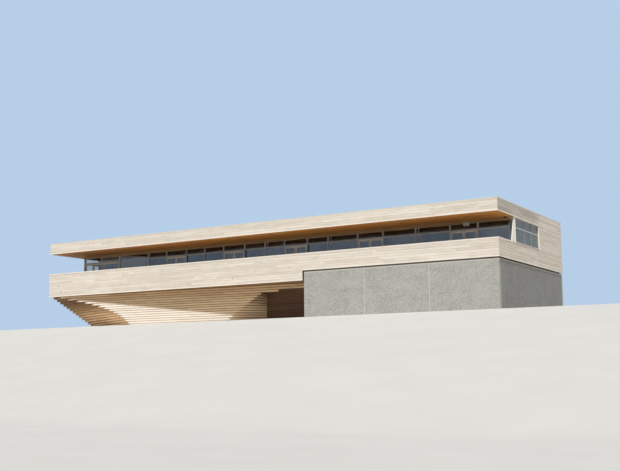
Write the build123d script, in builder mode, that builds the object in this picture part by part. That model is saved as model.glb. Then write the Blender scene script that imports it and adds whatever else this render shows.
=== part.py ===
import os
from itertools import accumulate
from math import exp, radians, tan

from build123d import *

# A long two-storey beach house, clad in horizontal boards, under a flat roof.
# Millimetres. X runs along the front from left to right, Y from front to back and Z up.
# The origin is the middle of the footprint, on the ground.

# Overall plan
length = 39000
depth = 13100

# Every height is counted in cladding courses, or stacked from a named thickness
board = 173
base_courses = 15
band_courses = 11
shallow_courses = 7
fascia_courses = 5
opening_height = 1660

# Floors
ground_slab_thickness = 150
base_soffit_thickness = 30
shadow_gap = 100
floor_thickness = 180
deck_thickness = 30
beam_width = 200
beam_spacing = 2400

# Walls
band_thickness = 250
cap_thickness = 25
cap_overhang = 12
base_wall = 200
concrete_wall = 300
concrete_setback = 30
shallow_length = 14290
panel_count = 3
panel_joint = 20

# The base's front wall is turned in plan, and its left corner is cut away course by course.
# The cut reaches along the front by a curve that slows as it goes down, and along the left end
# by an even step.
base_turn = 4.0
corner_reach = 9680
corner_pace = 7.25
corner_start = 150
corner_step = 364
corner_margin = 500

# The base's right end is cut back in the same way beside a recess
lintel_courses = 2
recess_first = 21700
recess_second = 20200
recess_step = 280
recess_left = 19700
recess_depth = 3000

# Deck and glazing
deck_depth = 2900
end_deck_width = 1100
end_deck_length = 7870
frame_depth = 120
post_width = 90
strong_post_width = 150
head_beam_height = 190
head_beam_width = 200
transom_drop = 430
transom_height = 70
sill_height = 70
glass_thickness = 24

# Door leaves
leaf_stile = 105
leaf_top_rail = 125
leaf_bottom_rail = 200
leaf_depth = 60
leaf_clearance = 4
hinge_height = 100
hinge_edge = 180
hinge_count = 3

# Bays of the front glazing from the left, each with the width between post centres. Together
# they are fitted to the run between the end posts.
front_bays = (
    ("pair", 1900),
    ("leaf", 2050),
    ("picture", 3140),
    ("window", 1890),
    ("pair", 2020),
    ("window", 1830),
    ("window", 1840),
    ("pair", 1990),
    ("window", 1870),
    ("window", 1730),
    ("pair", 1990),
    ("window", 1770),
    ("window", 2430),
    ("pair", 2010),
    ("window", 2490),
    ("window", 2530),
    ("pair", 1980),
    ("window", 2145),
)
left_bay_count = 3

# Right side: tapered jamb, window and solid wall. The window's bays are given from its front end.
jamb_foot = 700
jamb_head = 130
jamb_thickness = 60
window_start = 3150
window_bays = (1925, 1470, 1435)
window_frame = 50
window_transom_drop = 690
frame_reveal = 60
pane_setback = 30
rear_window_count = 3

# Roof
fascia_thickness = 60
soffit_thickness = 30
membrane_thickness = 25
roof_upstand = 110
trim_height = 30
trim_width = 110

# Small fittings
dome_radius = 80
dome_collar = 45
dome_inset_x = 460
dome_inset_y = 2640
light_shift = 250
light_width = 420
light_height = 220
light_depth = 90
light_drop = 185
light_rounding = 26

# Levels
base_top = base_courses * board
band_top = base_top + band_courses * board
shallow_bottom = band_top - shallow_courses * board
soffit_level = band_top + opening_height
roof_top = soffit_level + fascia_courses * board
floor_bottom = shallow_bottom - shadow_gap
floor_top = floor_bottom + floor_thickness
deck_level = floor_top + deck_thickness
beam_bottom = base_top + base_soffit_thickness
glass_head = soffit_level - head_beam_height
transom_level = glass_head - transom_drop
door_head = transom_level - transom_height / 2

# Plan lines
left = -length / 2
right = length / 2
front = -depth / 2
back = depth / 2
step_x = right - shallow_length
concrete_left = step_x + shadow_gap
glazing_y = front + deck_depth
glazing_left = left + end_deck_width
glazing_right = right - band_thickness
left_wall_front = front + end_deck_length
inner_left = left + band_thickness
inner_right = right - band_thickness
inner_front = front + band_thickness
inner_back = back - band_thickness
window_width = sum(window_bays)

os.makedirs("parts", exist_ok=True)


def keep(builder, name):
    """Label a finished piece and write it under its name."""
    builder.part.label = name
    export_step(builder.part, f"parts/{name}.step")


def front_plane(y):
    """A plane seen from the front, with X to the right and Z up. Negative extrusion goes back."""
    return Plane.XZ.offset(-y)


def side_plane(x):
    """A plane seen from the right, with Y to the right and Z up. Negative extrusion goes left."""
    return Plane.YZ.offset(x)


def rectangle(x_low, x_high, y_low, y_high, mode=Mode.ADD):
    """A rectangle between two corners of the sketch that is open."""
    with Locations(((x_low + x_high) / 2, (y_low + y_high) / 2)):
        Rectangle(x_high - x_low, y_high - y_low, mode=mode)


def outline(points):
    """A face round the points, in the sketch that is open."""
    Polygon(*points, align=None)


# Timber base

def base_line(distance):
    """The point on the turned front wall at a distance from the left end."""
    return Vector(left + distance, front + tan(radians(base_turn)) * distance)


def moved_left(start, end, distance):
    """A line moved to its own left, which on the walls below is indoors."""
    along = (end - start).normalized()
    side = Vector(-along.Y, along.X) * distance
    return start + side, end + side


def meeting(first, second):
    """Where two lines in plan cross, each given by two of its points."""
    along = first[1] - first[0]
    across = second[1] - second[0]
    return first[0] + along * ((second[0] - first[0]).cross(across).Z / along.cross(across).Z)


def side_arris(course):
    """Where a course leaves the left end, counted down from the top."""
    return Vector(left, front + corner_start + corner_step * course)


def front_arris(course):
    """Where a course meets the front wall, nearer the left end towards the top."""
    return base_line(corner_reach * (1 - exp(-course / corner_pace)))


def recess_arris(course):
    """Where a course of the front wall turns back into the recess."""
    if course <= lintel_courses + 1:
        return base_line(recess_first)
    return base_line(recess_second - recess_step * (course - lintel_courses - 2))


corner_back = front + corner_start + corner_step * (base_courses + 1) + corner_margin
corner_right = left + corner_reach
recess_corner = Vector(left + recess_left, front + recess_depth)
recess_back = recess_corner + Vector(0, base_wall)
lintel_end = base_line(concrete_left - left)


def course_faces(course):
    """The outer faces of one course in plan, from the left end round to the recess."""
    corners = [
        Vector(left, corner_back),
        side_arris(course),
        front_arris(course),
        recess_arris(course),
        recess_corner,
    ]
    return list(zip(corners, corners[1:]))


def course_outline(course):
    """One course in plan. It reaches in to the inner faces of the course below, for its lap."""
    outer = course_faces(course)
    inner = [moved_left(*face, base_wall) for face in course_faces(course + 1)]
    end_lines = [
        (outer[0][0], outer[0][0] + Vector(1, 0)),
        *inner,
        (recess_back, recess_back + Vector(1, 0)),
    ]
    lap = [meeting(first, second) for first, second in zip(end_lines, end_lines[1:])]
    return [face[0] for face in outer] + [recess_corner, recess_back] + lap[::-1]


with BuildPart() as base_shell:
    for course in range(1, base_courses + 1):
        with BuildSketch(Plane.XY.offset(base_top - course * board)):
            outline(course_outline(course))
            if course <= lintel_courses:
                lintel = (front_arris(course), lintel_end)
                outline([*lintel, *reversed(moved_left(*lintel, base_wall))])
        extrude(amount=board)

with BuildPart() as base_corner:
    add(base_shell.part)
    split(bisect_by=Plane.YZ.offset(corner_right), keep=Keep.BOTTOM)
keep(base_corner, "base_corner")

with BuildPart() as base_front_wall:
    add(base_shell.part)
    split(bisect_by=Plane.YZ.offset(corner_right), keep=Keep.TOP)
keep(base_front_wall, "base_front_wall")

with BuildPart() as recess_wall:
    with BuildSketch():
        rectangle(recess_corner.X, concrete_left, recess_corner.Y, recess_back.Y)
    extrude(amount=base_top)
keep(recess_wall, "recess_wall")

with BuildPart() as base_left_wall:
    with BuildSketch():
        rectangle(left, left + base_wall, corner_back, back - base_wall)
    extrude(amount=base_top)
keep(base_left_wall, "base_left_wall")

with BuildPart() as base_rear_wall:
    with BuildSketch():
        rectangle(left, concrete_left, back - base_wall, back)
    extrude(amount=base_top)
keep(base_rear_wall, "base_rear_wall")

# Concrete block, in precast panels with open joints

block_front = front + concrete_setback
block_back = back - concrete_setback
block_right = right - concrete_setback
panel_pitch = (block_right - concrete_left + panel_joint) / panel_count


def panels(y_low, y_high):
    """A row of equal concrete panels along X, in the sketch that is open."""
    for number in range(panel_count):
        start = concrete_left + number * panel_pitch
        rectangle(start, start + panel_pitch - panel_joint, y_low, y_high)


with BuildPart() as concrete_front_wall:
    with BuildSketch():
        panels(block_front, block_front + concrete_wall)
    extrude(amount=floor_bottom)
keep(concrete_front_wall, "concrete_front_wall")

with BuildPart() as concrete_rear_wall:
    with BuildSketch():
        panels(block_back - concrete_wall, block_back)
    extrude(amount=floor_bottom)
keep(concrete_rear_wall, "concrete_rear_wall")

with BuildPart() as concrete_right_wall:
    with BuildSketch():
        rectangle(
            block_right - concrete_wall,
            block_right,
            block_front + concrete_wall,
            block_back - concrete_wall,
        )
    extrude(amount=floor_bottom)
keep(concrete_right_wall, "concrete_right_wall")

with BuildPart() as concrete_left_wall:
    with BuildSketch():
        rectangle(
            concrete_left,
            concrete_left + concrete_wall,
            block_front + concrete_wall,
            block_back - concrete_wall,
        )
    extrude(amount=floor_bottom)
keep(concrete_left_wall, "concrete_left_wall")

with BuildPart() as ground_slab:
    with BuildSketch():
        outline([
            Vector(left + base_wall, back - base_wall),
            Vector(left + base_wall, side_arris(base_courses).Y),
            front_arris(base_courses),
            recess_arris(base_courses),
            recess_corner,
            recess_back,
            Vector(concrete_left, recess_back.Y),
            Vector(concrete_left, back - base_wall),
        ])
        rectangle(
            concrete_left + concrete_wall,
            block_right - concrete_wall,
            block_front + concrete_wall,
            block_back - concrete_wall,
        )
    extrude(amount=ground_slab_thickness)
    add(base_shell.part, mode=Mode.SUBTRACT)
keep(ground_slab, "ground_slab")

# Floor of the upper storey

with BuildPart() as base_soffit:
    with BuildSketch(Plane.XY.offset(base_top)):
        rectangle(inner_left, concrete_left, inner_front, inner_back)
    extrude(amount=base_soffit_thickness)
keep(base_soffit, "base_soffit")

beam_run = concrete_left - inner_left - beam_width
beam_bays = max(1, round(beam_run / beam_spacing))
with BuildPart() as floor_beams:
    with BuildSketch(Plane.XY.offset(beam_bottom)):
        for number in range(beam_bays + 1):
            start = inner_left + beam_run * number / beam_bays
            rectangle(start, start + beam_width, inner_front, inner_back)
    extrude(amount=floor_bottom - beam_bottom)
keep(floor_beams, "floor_beams")

with BuildPart() as floor_slab:
    with BuildSketch(Plane.XY.offset(floor_bottom)):
        rectangle(inner_left, inner_right, inner_front, inner_back)
    extrude(amount=floor_thickness)
keep(floor_slab, "floor_slab")

room_front = glazing_y - frame_depth / 2
room_left = glazing_left - frame_depth / 2
with BuildPart() as deck:
    with BuildSketch(Plane.XY.offset(floor_top)):
        rectangle(inner_left, inner_right, inner_front, room_front)
        rectangle(inner_left, room_left, inner_front, left_wall_front)
    extrude(amount=deck_thickness)
keep(deck, "deck")

with BuildPart() as room_floor:
    with BuildSketch(Plane.XY.offset(floor_top)):
        rectangle(room_left, inner_right, room_front, inner_back)
        rectangle(inner_left, room_left, left_wall_front, inner_back)
    extrude(amount=deck_thickness)
keep(room_floor, "room_floor")

# Parapet band: deep over the base, shallow over the concrete block

parapet_top = band_top - cap_thickness
window_y = front + window_start
right_wall_front = window_y - jamb_foot

with BuildPart() as front_parapet:
    with BuildSketch(front_plane(front)):
        rectangle(left, step_x, base_top, parapet_top)
        rectangle(step_x, right, shallow_bottom, parapet_top)
    extrude(amount=-band_thickness)
keep(front_parapet, "front_parapet")

with BuildPart() as left_parapet:
    with BuildSketch(side_plane(left)):
        rectangle(inner_front, left_wall_front, base_top, parapet_top)
    extrude(amount=band_thickness)
keep(left_parapet, "left_parapet")

with BuildPart() as right_parapet:
    with BuildSketch(side_plane(right)):
        rectangle(inner_front, right_wall_front, shallow_bottom, parapet_top)
    extrude(amount=-band_thickness)
keep(right_parapet, "right_parapet")

with BuildPart() as parapet_cap:
    with BuildSketch(Plane.XY.offset(parapet_top)):
        rectangle(left, right, front, inner_front + cap_overhang)
        rectangle(left, inner_left + cap_overhang, front, left_wall_front)
        rectangle(inner_right - cap_overhang, right, front, right_wall_front)
    extrude(amount=cap_thickness)
keep(parapet_cap, "parapet_cap")

# Walls of the upper storey

with BuildPart() as right_wall:
    with BuildSketch(side_plane(right)):
        rectangle(right_wall_front, inner_back, shallow_bottom, soffit_level)
        rectangle(
            right_wall_front, window_y + window_width, band_top, soffit_level, mode=Mode.SUBTRACT
        )
    extrude(amount=-band_thickness)
keep(right_wall, "right_wall")

# The jamb is a plate on the front end of the right wall. Its front edge leans back as it rises.
with BuildPart() as tapered_jamb:
    with BuildSketch(side_plane(right)):
        outline([
            (window_y - jamb_foot, band_top),
            (window_y, band_top),
            (window_y, soffit_level),
            (window_y - jamb_head, soffit_level),
        ])
    extrude(amount=-jamb_thickness)
keep(tapered_jamb, "tapered_jamb")

rear_pitch = (inner_right - inner_left) / rear_window_count
rear_window_starts = [
    inner_left + rear_pitch * (number + 0.5) - window_width / 2
    for number in range(rear_window_count)
]

with BuildPart() as rear_wall:
    with BuildSketch(front_plane(back)):
        rectangle(left, step_x, base_top, soffit_level)
        rectangle(step_x, right, shallow_bottom, soffit_level)
        for start in rear_window_starts:
            rectangle(
                start, start + window_width, band_top, soffit_level, mode=Mode.SUBTRACT
            )
    extrude(amount=band_thickness)
keep(rear_wall, "rear_wall")

with BuildPart() as left_wall:
    with BuildSketch(Plane.XY.offset(base_top)):
        rectangle(left, inner_left, left_wall_front, inner_back)
    extrude(amount=soffit_level - base_top)
    with BuildSketch(Plane.XY.offset(deck_level)):
        rectangle(
            inner_left,
            glazing_left + frame_depth / 2,
            left_wall_front,
            left_wall_front + band_thickness,
        )
    extrude(amount=soffit_level - deck_level)
keep(left_wall, "left_wall")

# Front glazing

bay_kinds = [kind for kind, width in front_bays]
bay_widths = [width for kind, width in front_bays]
bay_fit = (glazing_right - post_width / 2 - glazing_left) / sum(bay_widths)
bay_lines = [glazing_left + bay_fit * width for width in accumulate(bay_widths, initial=0)]


def post_size(number):
    """Posts beside the picture pane and at the corner are stronger than the others."""
    beside = bay_kinds[max(number - 1, 0):number + 1]
    return strong_post_width if number == 0 or "picture" in beside else post_width


def bay_span(number):
    """The clear width of a bay, from post face to post face."""
    return (
        bay_lines[number] + post_size(number) / 2,
        bay_lines[number + 1] - post_size(number + 1) / 2,
    )


with BuildPart() as head_beams:
    with BuildSketch(Plane.XY.offset(glass_head)):
        rectangle(
            glazing_left - head_beam_width / 2,
            glazing_right,
            glazing_y - head_beam_width / 2,
            glazing_y + head_beam_width / 2,
        )
        rectangle(
            glazing_left - head_beam_width / 2,
            glazing_left + head_beam_width / 2,
            glazing_y,
            left_wall_front,
        )
    extrude(amount=head_beam_height)
keep(head_beams, "head_beams")

with BuildPart() as front_posts:
    with BuildSketch(Plane.XY.offset(deck_level)):
        for number, line in enumerate(bay_lines):
            with Locations((line, glazing_y)):
                Rectangle(post_size(number), frame_depth)
    extrude(amount=glass_head - deck_level)
    # End panel, which closes the glazing against the tapered jamb
    with BuildSketch(Plane.XY.offset(band_top)):
        rectangle(
            glazing_right,
            right - jamb_thickness,
            glazing_y - frame_depth / 2,
            glazing_y + frame_depth / 2,
        )
    extrude(amount=soffit_level - band_top)
keep(front_posts, "front_posts")

with BuildPart() as front_rails:
    with BuildSketch(front_plane(glazing_y - frame_depth / 2)):
        for number, kind in enumerate(bay_kinds):
            low, high = bay_span(number)
            if kind != "picture":
                rectangle(low, high, door_head, door_head + transom_height)
            if kind in ("picture", "window"):
                rectangle(low, high, deck_level, deck_level + sill_height)
    extrude(amount=-frame_depth)
keep(front_rails, "front_rails")


def leaf_spans(number):
    """The door leaves of a bay, with a running gap at their edges."""
    low, high = bay_span(number)
    low += leaf_clearance
    high -= leaf_clearance
    middle = (low + high) / 2
    if bay_kinds[number] == "leaf":
        return [(low, high)]
    return [(low, middle - leaf_clearance / 2), (middle + leaf_clearance / 2, high)]


def leaf_hinges(number):
    """Hinge knuckles that bridge the gap between the outer stiles and the posts of a bay."""
    low, high = bay_span(number)
    edges = [low + leaf_clearance / 2]
    if bay_kinds[number] == "pair":
        edges.append(high - leaf_clearance / 2)
    lowest = leaf_low + hinge_edge
    highest = leaf_high - hinge_edge
    pitch = (highest - lowest) / (hinge_count - 1)
    return [(edge, lowest + pitch * hinge) for edge in edges for hinge in range(hinge_count)]


leaf_low = deck_level + leaf_clearance
leaf_high = door_head - leaf_clearance
glass_low = leaf_low + leaf_bottom_rail
glass_high = leaf_high - leaf_top_rail
door_bays = [number for number, kind in enumerate(bay_kinds) if kind in ("pair", "leaf")]

for door_number, bay in enumerate(door_bays, start=1):
    with BuildPart() as door:
        with BuildSketch(front_plane(glazing_y - leaf_depth / 2)):
            for low, high in leaf_spans(bay):
                rectangle(low, high, leaf_low, leaf_high)
                rectangle(
                    low + leaf_stile, high - leaf_stile, glass_low, glass_high, mode=Mode.SUBTRACT
                )
            with Locations(leaf_hinges(bay)):
                Rectangle(leaf_clearance, hinge_height)
        extrude(amount=-leaf_depth)
    keep(door, f"door_{door_number}")

with BuildPart() as front_glass:
    with BuildSketch(front_plane(glazing_y - glass_thickness / 2)):
        for number, kind in enumerate(bay_kinds):
            low, high = bay_span(number)
            if kind == "picture":
                rectangle(low, high, deck_level + sill_height, glass_head)
                continue
            rectangle(low, high, door_head + transom_height, glass_head)
            if kind == "window":
                rectangle(low, high, deck_level + sill_height, door_head)
                continue
            for leaf_start, leaf_end in leaf_spans(number):
                rectangle(leaf_start + leaf_stile, leaf_end - leaf_stile, glass_low, glass_high)
    extrude(amount=-glass_thickness)
keep(front_glass, "front_glass")

# Left glazing, from the corner post back to the left wall

left_glazing_start = glazing_y + frame_depth / 2
left_pitch = (left_wall_front - left_glazing_start + post_width) / left_bay_count
left_posts = [
    left_glazing_start + left_pitch * number - post_width for number in range(1, left_bay_count)
]
left_spans = list(zip(
    [left_glazing_start] + [post + post_width for post in left_posts],
    left_posts + [left_wall_front],
))

with BuildPart() as left_frame:
    with BuildSketch(side_plane(glazing_left - frame_depth / 2)):
        rectangle(left_glazing_start, left_wall_front, deck_level, glass_head)
        for low, high in left_spans:
            rectangle(low, high, deck_level + sill_height, door_head, mode=Mode.SUBTRACT)
            rectangle(low, high, door_head + transom_height, glass_head, mode=Mode.SUBTRACT)
    extrude(amount=frame_depth)
keep(left_frame, "left_frame")

with BuildPart() as left_glass:
    with BuildSketch(side_plane(glazing_left - glass_thickness / 2)):
        for low, high in left_spans:
            rectangle(low, high, deck_level + sill_height, door_head)
            rectangle(low, high, door_head + transom_height, glass_head)
    extrude(amount=glass_thickness)
keep(left_glass, "left_glass")

# Windows of the right side and the rear

window_transom = soffit_level - window_transom_drop
window_lines = [
    window_frame / 2 + (window_width - window_frame) / window_width * distance
    for distance in accumulate(window_bays, initial=0)
]


def window_panes(start):
    """The two rows of panes of one window, as low and high corners in its wall's plane."""
    for line, next_line in zip(window_lines, window_lines[1:]):
        low = start + line + window_frame / 2
        high = start + next_line - window_frame / 2
        yield low, high, band_top + window_frame, window_transom
        yield low, high, window_transom + window_frame, soffit_level - window_frame


def window_frame_profile(start):
    """One window frame, in the sketch that is open."""
    rectangle(start, start + window_width, band_top, soffit_level)
    for pane in window_panes(start):
        rectangle(*pane, mode=Mode.SUBTRACT)


glass_inset = frame_reveal + pane_setback

with BuildPart() as side_window_frame:
    with BuildSketch(side_plane(right - frame_reveal)):
        window_frame_profile(window_y)
    extrude(amount=-frame_depth)
keep(side_window_frame, "side_window_frame")

with BuildPart() as rear_window_frames:
    with BuildSketch(front_plane(back - frame_reveal)):
        for start in rear_window_starts:
            window_frame_profile(start)
    extrude(amount=frame_depth)
keep(rear_window_frames, "rear_window_frames")

with BuildPart() as window_glass:
    with BuildSketch(side_plane(right - glass_inset)):
        for pane in window_panes(window_y):
            rectangle(*pane)
    extrude(amount=-glass_thickness)
    with BuildSketch(front_plane(back - glass_inset)):
        for start in rear_window_starts:
            for pane in window_panes(start):
                rectangle(*pane)
    extrude(amount=glass_thickness)
keep(window_glass, "window_glass")

# Flat roof: fascia boards round a closed roof deck, with the soffit flush at their foot

roof_left = left + fascia_thickness
roof_right = right - fascia_thickness
roof_front = front + fascia_thickness
roof_back = back - fascia_thickness
fascia_top = roof_top - trim_height
deck_bottom = soffit_level + soffit_thickness
membrane_top = roof_top - roof_upstand
roof_deck_top = membrane_top - membrane_thickness


with BuildPart() as soffit_boards:
    with BuildSketch(Plane.XY.offset(soffit_level)):
        rectangle(roof_left, roof_right, roof_front, roof_back)
    extrude(amount=soffit_thickness)
keep(soffit_boards, "soffit_boards")

with BuildPart() as roof_deck:
    with BuildSketch(Plane.XY.offset(deck_bottom)):
        rectangle(roof_left, roof_right, roof_front, roof_back)
    extrude(amount=roof_deck_top - deck_bottom)
keep(roof_deck, "roof_deck")

with BuildPart() as roof_membrane:
    with BuildSketch(Plane.XY.offset(roof_deck_top)):
        rectangle(roof_left, roof_right, roof_front, roof_back)
    extrude(amount=membrane_thickness)
keep(roof_membrane, "roof_membrane")

with BuildPart() as front_fascia:
    with BuildSketch(front_plane(front)):
        rectangle(left, right, soffit_level, fascia_top)
    extrude(amount=-fascia_thickness)
keep(front_fascia, "front_fascia")

with BuildPart() as rear_fascia:
    with BuildSketch(front_plane(back)):
        rectangle(left, right, soffit_level, fascia_top)
    extrude(amount=fascia_thickness)
keep(rear_fascia, "rear_fascia")

with BuildPart() as left_fascia:
    with BuildSketch(side_plane(left)):
        rectangle(roof_front, roof_back, soffit_level, fascia_top)
    extrude(amount=fascia_thickness)
keep(left_fascia, "left_fascia")

with BuildPart() as right_fascia:
    with BuildSketch(side_plane(right)):
        rectangle(roof_front, roof_back, soffit_level, fascia_top)
    extrude(amount=-fascia_thickness)
keep(right_fascia, "right_fascia")

with BuildPart() as roof_trim:
    with BuildSketch(Plane.XY.offset(fascia_top)):
        rectangle(left, right, front, back)
        rectangle(
            left + trim_width,
            right - trim_width,
            front + trim_width,
            back - trim_width,
            mode=Mode.SUBTRACT,
        )
    extrude(amount=trim_height)
keep(roof_trim, "roof_trim")

# Dome fitting under the soffit, and a light box on the head beam over the last pair of doors,
# a little to the right of their middle

dome_centre = Vector(right - dome_inset_x, front + dome_inset_y, soffit_level)
with BuildPart() as soffit_dome:
    with BuildSketch(Plane(dome_centre, x_dir=(1, 0, 0), z_dir=(0, -1, 0))):
        with BuildLine():
            CenterArc((0, -dome_collar), dome_radius, -90, 90)
            Polyline(
                (dome_radius, -dome_collar), (dome_radius, 0), (0, 0), (0, -dome_collar - dome_radius)
            )
        make_face()
    revolve(axis=Axis(dome_centre, (0, 0, 1)))
keep(soffit_dome, "soffit_dome")

light_low, light_high = bay_span(door_bays[-1])
light_middle = (light_low + light_high) / 2 + light_shift
with BuildPart() as light_box:
    with BuildSketch(front_plane(glazing_y - head_beam_width / 2 - light_depth)):
        rectangle(
            light_middle - light_width / 2,
            light_middle + light_width / 2,
            glass_head - light_drop,
            glass_head - light_drop + light_height,
        )
    extrude(amount=-light_depth)
    fillet(light_box.edges().filter_by(Axis.Y), radius=light_rounding)
keep(light_box, "light_box")
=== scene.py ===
# %% [markdown]
# # A beach house of pale boards
# A long upper storey of weathered boards floats between a stepped timber base and a block of
# precast concrete. The walls, floors, frames and panes come from the frame, already at their
# real place. This lesson dresses them: it lays every cladding board, plank and bead, and gives
# each surface its finish. Everything is in metres, with the front facing towards minus Y.

# %% Load the frame
import random
from math import cos, exp, pi, radians, sin, tan

import bpy
from mathutils import Matrix, Vector


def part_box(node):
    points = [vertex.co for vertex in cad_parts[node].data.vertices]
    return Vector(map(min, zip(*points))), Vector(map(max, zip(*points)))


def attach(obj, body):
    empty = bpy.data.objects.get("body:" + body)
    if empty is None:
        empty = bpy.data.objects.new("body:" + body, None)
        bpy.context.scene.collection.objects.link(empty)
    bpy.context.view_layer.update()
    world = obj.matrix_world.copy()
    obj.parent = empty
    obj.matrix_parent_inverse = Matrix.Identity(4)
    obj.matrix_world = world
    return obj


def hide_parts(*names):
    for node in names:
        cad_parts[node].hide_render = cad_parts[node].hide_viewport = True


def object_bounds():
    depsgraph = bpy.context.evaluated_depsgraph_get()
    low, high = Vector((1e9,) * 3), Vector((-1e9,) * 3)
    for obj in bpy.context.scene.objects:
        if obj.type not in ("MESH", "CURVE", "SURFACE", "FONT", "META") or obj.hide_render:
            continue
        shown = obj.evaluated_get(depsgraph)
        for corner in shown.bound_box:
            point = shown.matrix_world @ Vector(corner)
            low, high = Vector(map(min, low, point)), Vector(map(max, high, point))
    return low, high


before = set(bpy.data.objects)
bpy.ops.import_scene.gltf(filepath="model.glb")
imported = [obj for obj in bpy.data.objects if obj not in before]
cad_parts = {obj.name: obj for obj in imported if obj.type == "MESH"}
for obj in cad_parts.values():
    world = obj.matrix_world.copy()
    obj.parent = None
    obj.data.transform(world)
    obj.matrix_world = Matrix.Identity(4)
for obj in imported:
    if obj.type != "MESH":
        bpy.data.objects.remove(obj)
cad_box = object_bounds()
left_x, front_y = cad_box[0].x, cad_box[0].y
right_x, back_y = cad_box[1].x, cad_box[1].y
bpy.ops.object.select_all(action="DESELECT")
print("nodes:", len(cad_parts), "box:", [tuple(round(c, 3) for c in p) for p in cad_box])

# %% [markdown]
# ## The camera
# The eye is below the foot of the house and well to its right, behind a long lens. The place and
# the angles were found from the vanishing points of the roof lines. The lens looks up by eight
# degrees and has no shift, so the verticals converge a little.

# %% Camera
picture_width = 620
focal_pixels = 949.1
eye = Vector((39.91, -62.22, -3.62))
yaw, pitch, roll = radians(31.46), radians(8.11), radians(-0.52)
forward = Vector((-sin(yaw) * cos(pitch), cos(yaw) * cos(pitch), sin(pitch)))
level_right = Vector((cos(yaw), sin(yaw), 0))
level_up = level_right.cross(forward)
camera_right = level_right * cos(roll) + level_up * sin(roll)
camera_up = level_up * cos(roll) - level_right * sin(roll)

bpy.ops.object.camera_add()
camera = bpy.context.object
camera.name = "camera"
camera.data.sensor_fit = "HORIZONTAL"
camera.data.sensor_width = 36
camera.data.lens = focal_pixels * camera.data.sensor_width / picture_width
camera.data.clip_end = 2000
turn = Matrix((camera_right, camera_up, -forward)).transposed().to_4x4()
camera.matrix_world = Matrix.Translation(eye) @ turn
bpy.context.scene.camera = camera
bpy.context.scene.view_settings.view_transform = "Standard"
print("lens:", round(camera.data.lens, 1), "mm")

# %% [markdown]
# ## Small helpers for modelling
# An operator works on all that is selected, and a new primitive arrives selected all over, so
# the selection is cleared first. Edges and faces are then picked in code, by a test on where they
# are or which way they face, and the edit operators work on the pick just as they would by hand.

# %% Modelling helpers
def only(*objects):
    """Select these objects and nothing else, with the first one active."""
    bpy.ops.object.select_all(action="DESELECT")
    for each in objects:
        each.select_set(True)
    bpy.context.view_layer.objects.active = objects[0]


def settle(name):
    """Name the new primitive and put its place and size into its mesh."""
    piece = bpy.context.object
    piece.name = piece.data.name = name
    bpy.ops.object.transform_apply(location=True, rotation=True, scale=True)
    return piece


def copy_of(model, matrix):
    """A copy with a mesh of its own, moved and stretched in that mesh."""
    piece = model.copy()
    piece.data = model.data.copy()
    piece.data.transform(matrix)
    bpy.context.collection.objects.link(piece)
    return piece


def pick(piece, kind, test):
    """Select the edges whose ends, or the faces whose middle and normal, pass a test."""
    only(piece)
    bpy.ops.object.mode_set(mode="EDIT")
    bpy.ops.mesh.select_mode(type=kind)
    bpy.ops.mesh.select_all(action="DESELECT")
    bpy.ops.object.mode_set(mode="OBJECT")
    if kind == "EDGE":
        points = [vertex.co for vertex in piece.data.vertices]
        for edge in piece.data.edges:
            edge.select = test(*(points[index] for index in edge.vertices))
    else:
        for face in piece.data.polygons:
            face.select = test(face.center, face.normal)
    bpy.ops.object.mode_set(mode="EDIT")


def bevel_edges(piece, width, test=lambda a, b: True, segments=1):
    """Bevel the edges that pass the test."""
    pick(piece, "EDGE", test)
    bpy.ops.mesh.bevel(offset=width, segments=segments)
    bpy.ops.object.mode_set(mode="OBJECT")


def join(name, copies):
    """Join copies into one piece with this name, at the origin."""
    only(*copies)
    if len(copies) > 1:
        bpy.ops.object.join()
    piece = bpy.context.object
    piece.name = piece.data.name = name
    bpy.ops.object.select_all(action="DESELECT")
    return piece


def finish_piece(name, parts, finish):
    """Join the parts, give the piece its material, and let it ride on the house."""
    piece = join(name, parts)
    piece.data.materials.clear()
    piece.data.materials.append(finish)
    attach(piece, "root")
    print(piece.name, len(piece.data.polygons), "faces")
    return piece


# %% [markdown]
# ## Shader maths
# A finish is mostly sums on noise, so one small class wraps a socket and lets Python's own
# operators add the Math nodes: 1 - mask works as well as mask + 1, and a | b takes the larger
# of two masks. Every node comes from a single method, which sets the node's options first,
# because they decide which sockets it shows.

# %% Shader helpers
def maths(operation, reflected=False):
    """A Python operator that adds one Math node."""
    def apply(field, other):
        values = [other, field] if reflected else [field, other]
        return field.recipe.node("Math", {"operation": operation}, values)
    return apply


class Field:
    """A number, colour, vector or shader that varies over a surface."""

    def __init__(self, recipe, socket):
        self.recipe = recipe
        self.socket = socket

    __add__ = __radd__ = maths("ADD")
    __mul__ = __rmul__ = maths("MULTIPLY")
    __sub__, __rsub__ = maths("SUBTRACT"), maths("SUBTRACT", reflected=True)
    __gt__, __or__ = maths("GREATER_THAN"), maths("MAXIMUM")


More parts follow.
